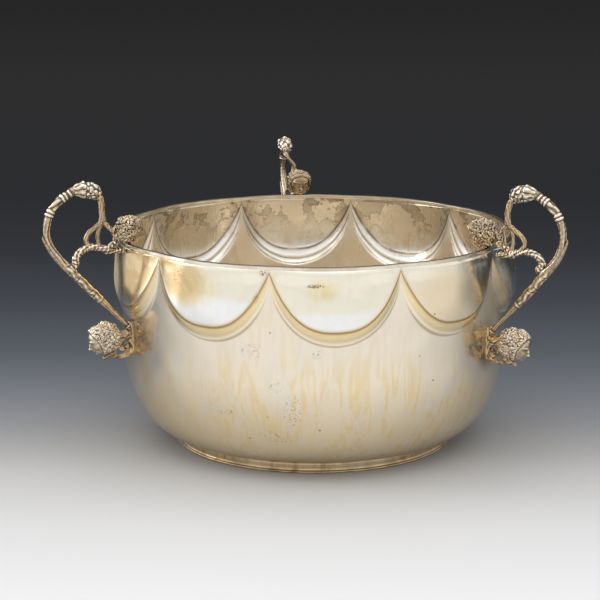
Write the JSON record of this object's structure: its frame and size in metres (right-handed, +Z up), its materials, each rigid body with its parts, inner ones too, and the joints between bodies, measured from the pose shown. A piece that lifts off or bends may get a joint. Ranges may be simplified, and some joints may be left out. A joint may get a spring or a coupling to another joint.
{
  "type": "three-handled bowl",
  "caption": "Round footed silver bowl with bossed half-round panels under a wired rim and scrolled branch handles that carry small heads.",
  "frame": {"origin": "on the bowl's axis in the plane that the foot stands on; the flat middle of the underside is 1.2 mm above it", "axes": "+Z up along the bowl's axis; +X through the handle that stands on a cusp between two panels; the XZ plane is the mirror plane of the three handles"},
  "size_m": [0.2915, 0.2764, 0.1669],
  "materials": {
    "silver_sheet": "polished, warm with light yellow tarnish",
    "silver_wire": "polished",
    "silver_foot": "polished, golden tarnish",
    "silver_casting": "chased and oxidised, bright on the high points"
  },
  "bodies": {
    "root": {"bowl_body": "silver_sheet", "rim_wire": "silver_wire", "foot_ring": "silver_foot", "stem_right": "silver_casting", "bulb_right": "silver_casting", "fork_right": "silver_casting", "branch_right": "silver_casting", "leaf_right": "silver_casting", "upper_head_right": "silver_casting", "lower_head_right": "silver_casting", "wall_bracket_right": "silver_casting", "stem_back": "silver_casting", "bulb_back": "silver_casting", "fork_back": "silver_casting", "branch_back": "silver_casting", "leaf_back": "silver_casting", "upper_head_back": "silver_casting", "lower_head_back": "silver_casting", "wall_bracket_back": "silver_casting", "stem_left": "silver_casting", "bulb_left": "silver_casting", "fork_left": "silver_casting", "branch_left": "silver_casting", "leaf_left": "silver_casting", "upper_head_left": "silver_casting", "lower_head_left": "silver_casting", "wall_bracket_left": "silver_casting"}
  },
  "joints": []
}
